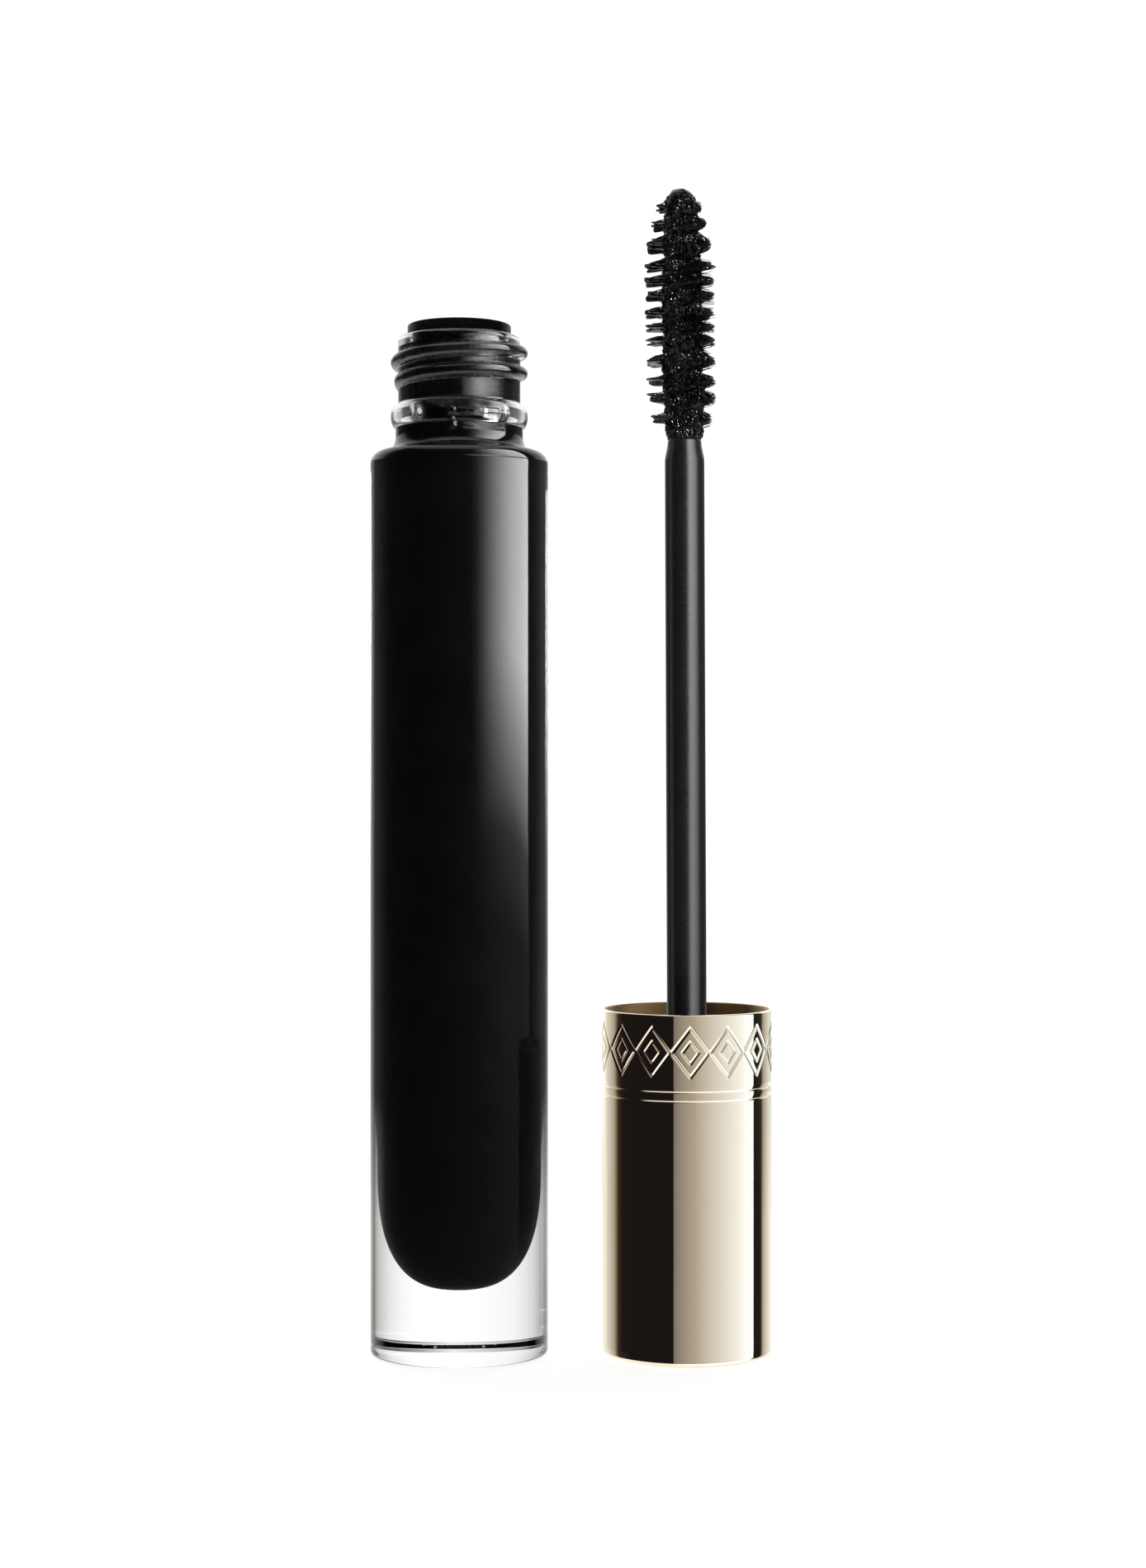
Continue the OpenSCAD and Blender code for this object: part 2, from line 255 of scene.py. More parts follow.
def make_flag():
    """A thin card between the two pieces. Only the cap mirrors it, and it stands for the
    surroundings there, so that the cap doesn't mirror the bottle. From the bottle's side nothing of
    it shows."""
    near, far, high = -9.0, 0.9, 125.0
    x = CAP_X / 2
    mesh = bpy.data.meshes.new("flag")
    corners = [(x, near, 0), (x, far, 0), (x, far, high), (x, near, high)]
    mesh.from_pydata([tuple(v * MM for v in corner) for corner in corners], [], [(0, 1, 2, 3)])
    flag = bpy.data.objects.new("flag", mesh)
    bpy.context.scene.collection.objects.link(flag)
    material = bpy.data.materials.new("flag")
    tree = node_tree(material)
    place = add(tree, "ShaderNodeSeparateXYZ")
    tree.links.new(add(tree, "ShaderNodeTexCoord").outputs["Object"], place.inputs[0])
    along = math_node(tree, "MULTIPLY_ADD", place.outputs[1], 1 / ((far - near) * MM),
                      -near / (far - near))
    depths = [(near, CARD_DARK), (-4.6, (0.014, 0.011, 0.011)), (-3.6, (0.04, 0.025, 0.02)),
              (-3.2, (0.09, 0.06, 0.05)), (-2.0, (0.46, 0.44, 0.38)), (-0.1, (0.68, 0.67, 0.67)),
              (far, grey(0.75))]
    glow = add(tree, "ShaderNodeEmission")
    tree.links.new(ramp_node(tree, along, [((y - near) / (far - near), c) for y, c in depths]),
                   glow.inputs["Color"])
    side = add(tree, "ShaderNodeMixShader")
    tree.links.new(add(tree, "ShaderNodeNewGeometry").outputs["Backfacing"], side.inputs[0])
    tree.links.new(glow.outputs[0], side.inputs[1])
    tree.links.new(add(tree, "ShaderNodeBsdfTransparent").outputs[0], side.inputs[2])
    tree.links.new(side.outputs[0], add(tree, "ShaderNodeOutputMaterial").inputs[0])
    mesh.materials.append(material)
    for kind in ("camera", "diffuse", "transmission", "shadow", "volume_scatter"):
        setattr(flag, "visible_" + kind, False)


def softbox(name, centre, azimuth, distance, size, height, radiance, across, up, lights_up,
            slope_from=None, gap=None):
    """A soft panel that only lights the given pieces. It faces centre, in millimetres, from an
    azimuth in degrees, where 0 is towards the camera and 90 is +X. Its distance, size, and height
    above centre are in metres. across and up are ramps of brightness, from its left to its right and
    from its foot to its top. With slope_from, a height in millimetres, up runs over the slope of the
    line from there to the panel instead, and gap is a dark range of slopes."""
    light = bpy.data.lights.new(name, "AREA")
    light.shape = "RECTANGLE"
    light.size, light.size_y = size
    light.energy = radiance * math.pi * size[0] * size[1]
    light.cycles.max_bounces = 1
    tree = node_tree(light)
    place = add(tree, "ShaderNodeSeparateXYZ")
    tree.links.new(add(tree, "ShaderNodeNewGeometry").outputs["Parametric"], place.inputs[0])
    u = ramp_node(tree, place.outputs[0], across)
    rise = place.outputs[1]
    if slope_from is not None:
        side = math_node(tree, "MULTIPLY_ADD", place.outputs[0], size[0], -size[0] / 2)
        reach = math_node(tree, "SQRT", math_node(tree, "MULTIPLY_ADD", side, side, distance ** 2))
        foot = height - size[1] / 2 - slope_from * MM
        above = math_node(tree, "MULTIPLY_ADD", place.outputs[1], size[1], foot)
        slope = math_node(tree, "DIVIDE", above, reach)
        first, last = up[0][0], up[-1][0]
        up = [((value - first) / (last - first), colour) for value, colour in up]
        rise = math_node(tree, "DIVIDE", math_node(tree, "SUBTRACT", slope, first), last - first)
    v = ramp_node(tree, rise, up)
    both = add(tree, "ShaderNodeMix", data_type="RGBA", blend_type="MULTIPLY")
    both.inputs[0].default_value = 1.0
    tree.links.new(u, both.inputs[6])
    tree.links.new(v, both.inputs[7])
    glow = add(tree, "ShaderNodeEmission", Strength=1.0)
    tree.links.new(both.outputs[2], glow.inputs["Color"])
    if gap:
        in_gap = math_node(tree, "COMPARE", slope, (gap[0] + gap[1]) / 2, (gap[1] - gap[0]) / 2)
        tree.links.new(math_node(tree, "SUBTRACT", 1.0, in_gap), glow.inputs["Strength"])
    tree.links.new(glow.outputs[0], add(tree, "ShaderNodeOutputLight").inputs[0])
    holder = bpy.data.objects.new(name, light)
    a = math.radians(azimuth)
    outward = Vector((math.sin(a), -math.cos(a), 0))
    holder.location = Vector(centre) * MM + outward * distance + Vector((0, 0, height))
    holder.rotation_mode = "QUATERNION"
    holder.rotation_quaternion = outward.to_track_quat("Z", "Y")
    holder.visible_camera = False
    bpy.context.scene.collection.objects.link(holder)
    group = bpy.data.collections.new(name + "_lights")
    for piece in lights_up:
        group.objects.link(piece)
    holder.light_linking.receiver_collection = group


def panel_width(distance, half):
    """How wide a panel is that reaches half degrees to each side at that distance."""
    return 2 * distance * math.tan(math.radians(half))


def panel_share(angle, middle, half):
    """Where a direction meets a flat panel, as a share of the panel's width."""
    share = 0.5 + math.tan(math.radians(angle - middle)) / (2 * math.tan(math.radians(half)))
    return min(max(share, 0.0), 1.0)


def panel_stops(stops, middle, half):
    """Stops by azimuth become stops across a panel."""
    return [(panel_share(angle, middle, half), colour) for angle, colour in stops]


def light_cap(shell):
    """A bright gradient on the cap's right half, and white surroundings at both of its edges."""
    distance, middle, half = 0.5, 39.5, 59.5
    front = [(-30, grey(0)), (-20.5, grey(0)), (-19.5, (0.20, 0.185, 0.20)),
             (7, (0.44, 0.42, 0.37)), (27, (0.66, 0.65, 0.65)), (49, (0.82, 0.87, 0.93)),
             (70, (1.0, 1.08, 1.2)), (84, (1.1, 1.25, 1.5)), (98, (1.1, 1.25, 1.5))]
    softbox("cap_panel", centre=(CAP_X, 0, 20), azimuth=middle, distance=distance,
            size=(panel_width(distance, half), 1.4), height=0.0, radiance=1.0,
            across=panel_stops(front, middle, half), up=EVEN, lights_up=[shell])
    # above this height the card hides the table, so the panels take over there
    side_half, tall = 36, 0.6
    rise = [(0.0, grey(0)), (0.5 - 0.066 / tall, grey(0)), (0.5 - 0.030 / tall, grey(1)),
            (1, grey(1))]
    left = [(-165, (0.6, 0.6, 0.62)), (-152, (0.7, 0.72, 0.77)), (-133, (0.6, 0.59, 0.59)),
            (-119, (0.42, 0.40, 0.34)), (-110, (0.05, 0.03, 0.03)), (-106, grey(0))]
    right = [(117, grey(0)), (121, (0.28, 0.26, 0.22)), (126, (0.42, 0.40, 0.35)),
             (143, (0.66, 0.69, 0.73)), (165, (0.7, 0.7, 0.72)), (178, grey(0.1))]
    for name, side_middle, stops in (("cap_left", -136, left), ("cap_right", 146, right)):
        softbox(name, centre=(CAP_X, 0, 0), azimuth=side_middle, distance=distance,
                size=(panel_width(distance, side_half), tall), height=0.0, radiance=1.0,
                across=panel_stops(stops, side_middle, side_half), up=rise, lights_up=[shell])


def light_glass(glass):
    """A tall soft panel to the right, sharp at its far end and just as high as the shoulder
    mirrors, and a smaller softer one above it that the neck mirrors."""
    distance, mirrors_from = 0.5, SHOULDER_Z + 0.7
    middle, half = 59.0, 42.5
    body = [(17, 0.0), (24, 0.012), (32, 0.05), (40, 0.13), (48, 0.23), (58, 0.36), (70, 0.52),
            (84, 0.62), (101, 0.66)]
    # the neck's walls mirror the slopes in the gap, and the shoulder's curve those above it
    slopes = [(-0.42, 0.008), (-0.14, 0.013), (-0.09, 0.07), (-0.04, 0.47), (0.01, 1.0),
              (0.2, 0.95), (1.4, 0.8)]
    softbox("bottle_panel", centre=(0, 0, 0), azimuth=middle, distance=distance,
            size=(panel_width(distance, half), 1.0), height=0.36, radiance=16.0,
            across=panel_stops([(a, grey(v)) for a, v in body], middle, half),
            up=[(slope, grey(v)) for slope, v in slopes], lights_up=[glass],
            slope_from=mirrors_from, gap=(0.127, 0.185))
    middle, half, strongest = 51, 47, 6.0
    peak = [(5, 0.0), (14.6, 1.05), (24, 2.4), (33, 4.6), (42, 5.6), (52, 4.4), (62, 2.6),
            (73, 1.2), (85, 0.4), (97, 0.1)]
    softbox("neck_panel", centre=(0, 0, 0), azimuth=middle, distance=distance,
            size=(panel_width(distance, half), 0.16), height=0.22, radiance=strongest,
            across=panel_stops([(a, grey(v / strongest)) for a, v in peak], middle, half),
            up=[(0.128, grey(0)), (0.131, grey(1)), (0.176, grey(1)), (0.18, grey(0))],
            lights_up=[glass], slope_from=mirrors_from)


def light_wand(stem, brush):
    """A long soft strip for the stem, and a small strong light that makes the wet brush glint."""
    softbox("stem_panel", centre=(CAP_X, 0, 60), azimuth=46.0, distance=0.4, size=(0.45, 0.8),
            height=0.0, radiance=6.0,
            across=[(0.0, grey(0.85)), (0.3, grey(1)), (0.6, grey(0.7)), (1.0, grey(0.25))],
            up=[(0.46, grey(0.75)), (0.5, grey(0.82)), (0.56, grey(1.45))], lights_up=[stem])
    softbox("brush_glint", centre=(CAP_X, 0, 100), azimuth=30.0, distance=0.4, size=(0.1, 0.1),
            height=0.17, radiance=120.0, across=EVEN, up=EVEN, lights_up=brush)


# ---------------------------------------------------------------- materials
def surface(name, **settings):
    """A principled material, with its tree, its shader node and a noise-friendly coordinate."""
    material = bpy.data.materials.new(name)
    tree = node_tree(material)
    shader = add(tree, "ShaderNodeBsdfPrincipled", **settings)
    tree.links.new(shader.outputs[0], add(tree, "ShaderNodeOutputMaterial").inputs[0])
    place = add(tree, "ShaderNodeTexCoord").outputs["Object"]
    return material, tree, shader, place


def noise(tree, place, scale, detail=3.0, roughness=0.55, stretch=None):
    """Cloudy noise from 0 to 1, with its scale in waves a metre."""
    if stretch:
        mapping = add(tree, "ShaderNodeMapping", Scale=stretch)
        tree.links.new(place, mapping.inputs[0])
        place = mapping.outputs[0]
    node = add(tree, "ShaderNodeTexNoise", Scale=scale, Detail=detail, Roughness=roughness)
    tree.links.new(place, node.inputs["Vector"])
    return node.outputs[0]


def roughen(tree, shader, source, low, high):
    """Roughness that follows a noise between two values."""
    tree.links.new(ramp_node(tree, source, [(0.3, grey(low)), (0.7, grey(high))]),
                   shader.inputs["Roughness"])


def bump(tree, shader, source, depth_mm, strength=1.0):
    """Unevenness too fine for the mesh."""
    node = add(tree, "ShaderNodeBump", Strength=strength, Distance=depth_mm * MM)
    tree.links.new(source, node.inputs["Height"])
    tree.links.new(node.outputs[0], shader.inputs["Normal"])


def tint(tree, shader, source, dark, light):
    """Colour that follows a noise between two values."""
    tree.links.new(ramp_node(tree, source, [(0.3, dark), (0.7, light)]),
                   shader.inputs["Base Color"])


def glass_surface(name, scale, detail, stretch, depth, strength):
    material, tree, shader, place = surface(
        name, **{"Base Color": (1, 1, 1, 1), "Roughness": 0.0, "IOR": 1.5,
                 "Transmission Weight": 1.0})
    bump(tree, shader, noise(tree, place, scale, detail, stretch=stretch), depth, strength)
    return material


def clear_glass():
    """The bottle's walls, with the long faint ripples of blown glass."""
    return glass_surface("clear_glass", 320.0, 2.0, (1, 1, 0.25), 0.006, 0.25)


def neck_glass():
    """The moulded neck, whose surface is less smooth than the bottle's walls."""
    return glass_surface("neck_glass", 1500.0, 3.0, (1, 1, 1.8), 0.02, 0.18)


def wet_paste():
    """Thick wet mascara: deep black, with small sharp glints on its lumps."""
    material, tree, shader, place = surface(
        "wet_paste", **{"Base Color": (0.0015, 0.0015, 0.0017, 1), "Specular IOR Level": 0.3})
    lumps = noise(tree, place, 3400.0, 1.5, 0.55)
    tint(tree, shader, lumps, (0.001, 0.001, 0.0012), (0.0025, 0.0025, 0.003))
    roughen(tree, shader, noise(tree, place, 1500.0, 2.0), 0.03, 0.1)
    bump(tree, shader, lumps, 0.12, 0.7)
    return material


def fill_paste():
    """Mascara against the glass: no air lies between them, so it hardly shines."""
    material, tree, shader, place = surface(
        "fill_paste", **{"Base Color": (0.002, 0.002, 0.002, 1), "Specular IOR Level": 0.02})
    swirl = noise(tree, place, 260.0, 4.0)
    roughen(tree, shader, swirl, 0.45, 0.6)
    tint(tree, shader, swirl, (0.0055, 0.0055, 0.0055), (0.0075, 0.0075, 0.0076))
    return material


def gold_metal():
    """Polished champagne gold, with faint upright hairlines."""
    material, tree, shader, place = surface(
        "gold_metal", **{"Base Color": (0.9, 0.8, 0.62, 1), "Metallic": 1.0, "Roughness": 0.03})
    cloud = noise(tree, place, 90.0, 3.0)
    hairline = noise(tree, place, 900.0, 3.0, stretch=(1, 1, 0.05))
    tint(tree, shader, cloud, (0.885, 0.785, 0.6), (0.91, 0.81, 0.635))
    roughen(tree, shader, hairline, 0.02, 0.045)
    bump(tree, shader, hairline, 0.0006, 0.2)
    return material


def gold_inside_painted_shade():
    """The shell's unpolished inner face, brown towards the opening: a gold darkened as painted shade
    for the inside of the cap.
    """
    # painted shade: a dark brown gold in place of the outside's bright gold, with mottled streaks
    material, tree, shader, place = surface(
        "gold_inside_painted_shade", **{"Base Color": (0.3, 0.18, 0.07, 1), "Metallic": 0.8, "Roughness": 0.4})
    streaks = noise(tree, place, 500.0, 3.0, stretch=(1, 1, 0.1))
    tint(tree, shader, streaks, (0.24, 0.14, 0.05), (0.33, 0.2, 0.08))
    roughen(tree, shader, streaks, 0.35, 0.5)
    bump(tree, shader, streaks, 0.01, 0.4)
    return material


def stem_plastic():
    """Black moulded plastic with a fine satin grain."""
    material, tree, shader, place = surface(
        "stem_plastic", **{"Base Color": (0.005, 0.005, 0.0055, 1), "Roughness": 0.3,
                           "Specular IOR Level": 0.5})
    grain = noise(tree, place, 7000.0, 2.0)
    tint(tree, shader, noise(tree, place, 400.0), (0.004, 0.004, 0.0045), (0.006, 0.006, 0.0065))
    roughen(tree, shader, grain, 0.25, 0.34)
    bump(tree, shader, grain, 0.012, 0.5)
    return material


def plastic(name, dark, light, rough, grain_scale=3000.0, depth=0.01):
    """Matt plastic or foam, a little mottled."""
    material, tree, shader, place = surface(name, **{"Base Color": (*light, 1), "Roughness": rough})
    grain = noise(tree, place, grain_scale, 2.0)
    tint(tree, shader, noise(tree, place, 300.0), dark, light)
    roughen(tree, shader, grain, rough - 0.06, rough + 0.06)
    bump(tree, shader, grain, depth, 0.5)
    return material


def wiper_plastic():
    """Black plastic, smoother than the stem."""
    material, tree, shader, place = surface(
        "wiper_plastic", **{"Base Color": (0.006, 0.006, 0.006, 1), "Specular IOR Level": 0.25})
    grain = noise(tree, place, 2500.0, 2.0)
    tint(tree, shader, noise(tree, place, 300.0), (0.005, 0.005, 0.005), (0.0075, 0.0075, 0.0075))
    roughen(tree, shader, grain, 0.24, 0.36)
    bump(tree, shader, grain, 0.008, 0.4)
    return material


def bristle_nylon():
    """Black nylon, wet with mascara in places."""
    material, tree, shader, place = surface(
        "bristle_nylon", **{"Base Color": (0.002, 0.002, 0.002, 1), "Specular IOR Level": 0.3})
    wet = noise(tree, place, 1800.0, 2.0)
    tint(tree, shader, wet, (0.0012, 0.0012, 0.0014), (0.003, 0.003, 0.0035))
    roughen(tree, shader, wet, 0.2, 0.45)
    return material


def wire_steel():
    """Drawn steel wire."""
    material, tree, shader, place = surface(
        "wire_steel", **{"Base Color": (0.55, 0.55, 0.57, 1), "Metallic": 1.0, "Roughness": 0.3})
    drawn = noise(tree, place, 2000.0, 2.0, stretch=(1, 1, 0.2))
    tint(tree, shader, drawn, (0.48, 0.48, 0.5), (0.6, 0.6, 0.62))
    roughen(tree, shader, drawn, 0.22, 0.38)
    return material


# ---------------------------------------------------------------- meshes
def new_piece(name, points, faces, materials, body, node, marks=None):
    """A mesh in millimetres becomes a piece that rides on a body and stands for a CAD node."""
    mesh = bpy.data.meshes.new(name)
    mesh.from_pydata((np.asarray(points) * MM).tolist(), [], [list(f) for f in faces])
    for material in materials:
        mesh.materials.append(material)
    if marks is not None:
        mesh.polygons.foreach_set("material_index", np.asarray(marks, dtype=np.int32))
    mesh.polygons.foreach_set("use_smooth", [True] * len(mesh.polygons))
    mesh.update()
    piece = bpy.data.objects.new(name, mesh)
    bpy.context.scene.collection.objects.link(piece)
    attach(piece, body)
    if node:
        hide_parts(node)
    return piece


def arc(cx, cz, rx, rz, first, last, count=8):
    """Points of an outline along an ellipse, between two angles in degrees."""
    angles = np.radians(np.linspace(first, last, count + 1))
    return [(cx + rx * math.cos(a), cz + rz * math.sin(a)) for a in angles]


def rows_between(z0, z1, step):
    """Heights from z0 to z1, about a step apart."""
    return np.linspace(z0, z1, max(2, int(abs(z1 - z0) / step) + 1))


def lathe(outline, sides, x=0.0, relief=None):
    """A closed solid of revolution from an outline that starts and ends on the axis.
    relief(angle, r, z, row) may change a row's radii."""
    angles = np.arange(sides) * 2 * math.pi / sides
    points, rings = [], []
    for row, (r, z) in enumerate(outline):
        if r < 1e-6:
            rings.append([len(points)] * sides)
            points.append((x, 0.0, z))
            continue
        radii = np.full(sides, r) if relief is None else relief(angles, r, z, row)
        rings.append(list(range(len(points), len(points) + sides)))
        points += zip(x + radii * np.cos(angles), radii * np.sin(angles), np.full(sides, z))
    faces, owner = [], []
    for row, (low, high) in enumerate(zip(rings, rings[1:])):
        for j in range(sides):
            k = (j + 1) % sides
            corners = []
            for index in (low[j], low[k], high[k], high[j]):
                if index not in corners:
                    corners.append(index)
            if len(corners) > 2:
                faces.append(corners)
                owner.append(row)
    return points, faces, owner


def smooth_step(t):
    t = np.clip(t, 0.0, 1.0)
    return t * t * (3 - 2 * t)


def thread_relief(angles, z):
    """How far the neck's thread stands out, in millimetres, at each angle and one height."""
    height = np.zeros_like(angles)
    degrees = np.degrees(angles)
    for k in range(-2, 3):
        turn = (degrees - THREAD_START) / 360 + k
        inside = (turn > 0) & (turn < THREAD_TURNS)
        near_end = np.minimum(turn, THREAD_TURNS - turn)
        fade = np.where(inside, 0.15 + 0.85 * smooth_step(near_end * 6), 0.0)
        off = np.abs(z - THREAD_Z - THREAD_PITCH * turn) / (THREAD_W / 2)
        ridge = np.clip(1 - off ** 2.2, 0, 1) ** 0.6
        height = np.maximum(height, THREAD_H * fade * ridge)
    return height


def bump_shape(offset, half_width, power):
    """1 in the middle and 0 from half_width on, flatter on top for a higher power."""
    return np.clip(1 - np.abs(offset / half_width) ** power, 0, 1)


def make_glass(wall, neck):
    """The bottle: a hollow foot, thick walls, a bead with its mould marks, and a threaded neck."""
    punt_r, punt_h, foot_edge = BOTTLE_R - 1.9, 0.45, 0.4
    shoulder_edge, collar_edge = 1.3, 1.5
    bead_out, bead_edge, root_edge, lip_edge = 0.48, 1.1, 0.23, 0.5
    edge_z = SHOULDER_Z - shoulder_edge
    shoulder_r = BOTTLE_R - shoulder_edge - 0.05
    collar_z = SHOULDER_Z + collar_edge
    bead_z = collar_z + 0.8
    bead_top = bead_z + BEAD_H
    outline = [(punt_r * t, punt_h * (1 - t * t)) for t in np.linspace(0, 1, 14)]
    outline += arc(BOTTLE_R - foot_edge, foot_edge, foot_edge, foot_edge, -90, 0, 14)
    outline += [(BOTTLE_R, z) for z in (0.5, 0.8, *rows_between(3, SHOULDER_Z - 3, 4))]
    outline += [(BOTTLE_R, edge_z - 0.4), (BOTTLE_R, edge_z - 0.1)]
    outline += arc(BOTTLE_R - shoulder_edge, edge_z, shoulder_edge, shoulder_edge, 0, 90, 24)
    outline += arc(shoulder_r, collar_z, shoulder_r - COLLAR_R, collar_edge, -90, -180, 12)
    neck_from = len(outline)
    outline += [(COLLAR_R, z) for z in rows_between(collar_z + 0.1, bead_z - 0.1, 0.12)]
    outline += arc(COLLAR_R, bead_z + bead_edge, bead_out, bead_edge, -90, 0, 18)
    root_r = NECK_R + root_edge
    top_out = COLLAR_R + bead_out - root_r
    outline += arc(root_r, bead_top - bead_edge, top_out, bead_edge, 0, 90, 18)[1:]
    outline += arc(root_r, bead_top + root_edge, root_edge, root_edge, -90, -180, 5)
    outline += [(NECK_R, z) for z in rows_between(bead_top + 0.28, LIP_Z - 0.55, 0.055)]
    outline += arc(NECK_R - lip_edge, LIP_Z - lip_edge, lip_edge, lip_edge, 0, 90, 8)
    neck_to = len(outline)
    outline += [(BORE_R + 0.1, LIP_Z), (BORE_R + 0.02, LIP_Z - 0.15)]
    outline += [(BORE_R, z) for z in rows_between(LIP_Z - 0.5, BORE_Z + 0.3, 1.5)]
    outline += cavity_wall(0.0)

    def relief(angles, r, z, row):
        radii = np.full(len(angles), r)
        if not neck_from <= row < neck_to:
            return radii
        if bead_top <= z <= LIP_Z - lip_edge:
            radii = radii + thread_relief(angles, z)
        front = np.arctan2(np.sin(angles + math.pi / 2), np.cos(angles + math.pi / 2))
        if collar_z < z < bead_top + 0.1:
            # the bead is worn down at the front, where its mould marks stand
            worn_r = COLLAR_R + 0.08
            flat = smooth_step((34 - np.abs(np.degrees(front) + 2)) / 12) * (radii > worn_r)
            radii = radii - flat * (radii - worn_r) * 0.5
        return radii + mould_marks(front * 6.5, z - bead_z)

    points, faces, owner = lathe(outline, 288, 0.0, relief)
    marks = [1 if neck_from <= row < neck_to else 0 for row in owner]
    return new_piece("bottle_glass", points, faces, [wall, neck], "bottle", "glass_bottle",
                     marks)


def mould_marks(along, up):
    """How far the marks on the bead's front stand out: a lug, a knob over it, a bar and a block."""
    lug = bump_shape(np.hypot((along + 0.46) / 0.4, (up + 0.3) / 0.78), 1.0, 5)
    knob = bump_shape(np.hypot((along + 0.43) / 0.42, (up - 0.93) / 0.45), 1.0, 5)
    bar = bump_shape(along - 1.3, 1.25, 10) * bump_shape(up - 0.9, 0.34, 5)
    block = bump_shape(along - 3.45, 0.75, 8) * bump_shape(up - 0.8, 0.5, 5)
    return 0.32 * lug + 0.3 * knob + 0.26 * bar + 0.2 * block


def bowl(r, rim_z, foot_z):
    """A bowl's outline from its rim down to the axis. With a power of 2 it would be an ellipse."""
    share = 2 / CAVITY_POWER
    rows = [(r * math.cos(a) ** share, rim_z - (rim_z - foot_z) * math.sin(a) ** share)
            for a in np.radians(np.linspace(0, 90, 41))[:-1]]
    return rows + [(0.0, foot_z)]


def narrowing(r0, z0, r1, z1):
    """An outline that eases from one radius to another."""
    return [(r0 + (r1 - r0) * smooth_step(t), z0 + (z1 - z0) * t) for t in np.linspace(0, 1, 13)]


def cavity_wall(outward):
    """The bottle's inner wall from the neck's bore down to the axis, moved outwards by a little."""
    low_r = CAVITY_R - CAVITY_TAPER + outward
    rows = narrowing(BORE_R + outward, BORE_Z, CAVITY_R + outward, CAVITY_TOP)
    rows += [(CAVITY_R + outward, z) for z in rows_between(CAVITY_TOP - 3, CAVITY_TAPER_Z + 2, 6)]
    rows += narrowing(CAVITY_R + outward, CAVITY_TAPER_Z, low_r, CAVITY_RIM)
    return rows + bowl(low_r, CAVITY_RIM, CAVITY_Z - outward)[1:]


def make_fill(material):
    """The mascara, pressed against the glass from foot to wiper, with room for the wand."""
    contact = 0.04
    top_z = wiper_low[2] + 5.2
    outside = [(BORE_R + contact, top_z)] + cavity_wall(contact)
    inside = [(CHANNEL_R, top_z)] + [(CHANNEL_R, z) for z in rows_between(top_z - 3, 24, 6)]
    inside += bowl(CHANNEL_R, CHANNEL_Z + 9, CHANNEL_Z)
    points, faces, _ = lathe(inside[::-1] + outside, 192)
    return new_piece("mascara_in_bottle", points, faces, [material], "bottle", "mascara_fill")


def make_wiper(material):
    """The insert that strips the wand: a flange on the lip, a sleeve in the neck and a soft lip."""
    top, low = wiper_high[2], wiper_low[2]
    flange_r = (wiper_high[0] - wiper_low[0]) / 2
    flange_edge, mouth_edge, mouth_r, lip_r = 0.2, 0.25, 3.6, 2.15
    # the sleeve touches the glass with no air between, but stands back just under the flange
    sleeve_r, back_r, seat_z = BORE_R + 0.03, BORE_R - 0.3, LIP_Z + 0.01
    outline = [(lip_r, low + 0.2), (2.5, low), (4.0, low + 5.6), (sleeve_r, low + 6.6)]
    outline += [(sleeve_r, z) for z in rows_between(low + 7.5, LIP_Z - 1.0, 2)]
    outline += [(back_r, LIP_Z - 0.8), (back_r, seat_z)]
    outline += [(flange_r, seat_z), (flange_r, LIP_Z + 0.2)]
    outline += arc(flange_r - flange_edge, top - flange_edge, flange_edge, flange_edge, 0, 90)
    outline += arc(mouth_r + 0.6, top - mouth_edge, mouth_edge, mouth_edge, 90, 180)
    outline += [(mouth_r + 0.1, top - 2.2), (mouth_r, top - 2.6), (mouth_r, low + 6.4)]
    outline += [(mouth_r - 0.1, low + 6.0), (lip_r + 0.05, low + 1.4), (lip_r, low + 1.3)]
    points, faces = ring_lathe(outline, 128)
    return new_piece("wiper_insert", points, faces, [material], "bottle", "wiper")


def ring_lathe(outline, sides):
    """A ring of revolution. Its outline stays off the axis, and its last point joins its first."""
    angles = np.arange(sides) * 2 * math.pi / sides
    points, faces = [], []
    for row, (r, z) in enumerate(outline):
        points += zip(r * np.cos(angles), r * np.sin(angles), np.full(sides, z))
        low, high = row * sides, ((row + 1) % len(outline)) * sides
        for j in range(sides):
            k = (j + 1) % sides
            faces.append([low + j, low + k, high + k, high + j])
    return points, faces


def lozenge_relief(angles, z, middle, repeats):
    """The depth of the band's engraving: linked lozenge outlines, with a small one inside each."""
    half = math.pi * CAP_R / repeats
    across = ((angles * repeats / (2 * math.pi)) % 1 - 0.5) * 2 * half

    def stroke(half_w, half_h, width):
        edge = np.abs(across) / half_w + np.abs(z - middle) / half_h - 1
        reach = edge / math.hypot(1 / half_w, 1 / half_h)
        return np.clip(1 - np.abs(reach) / width, 0, 1)

    return np.maximum(stroke(half * 0.96, 2.35, 0.17), stroke(half * 0.42, 1.05, 0.13))


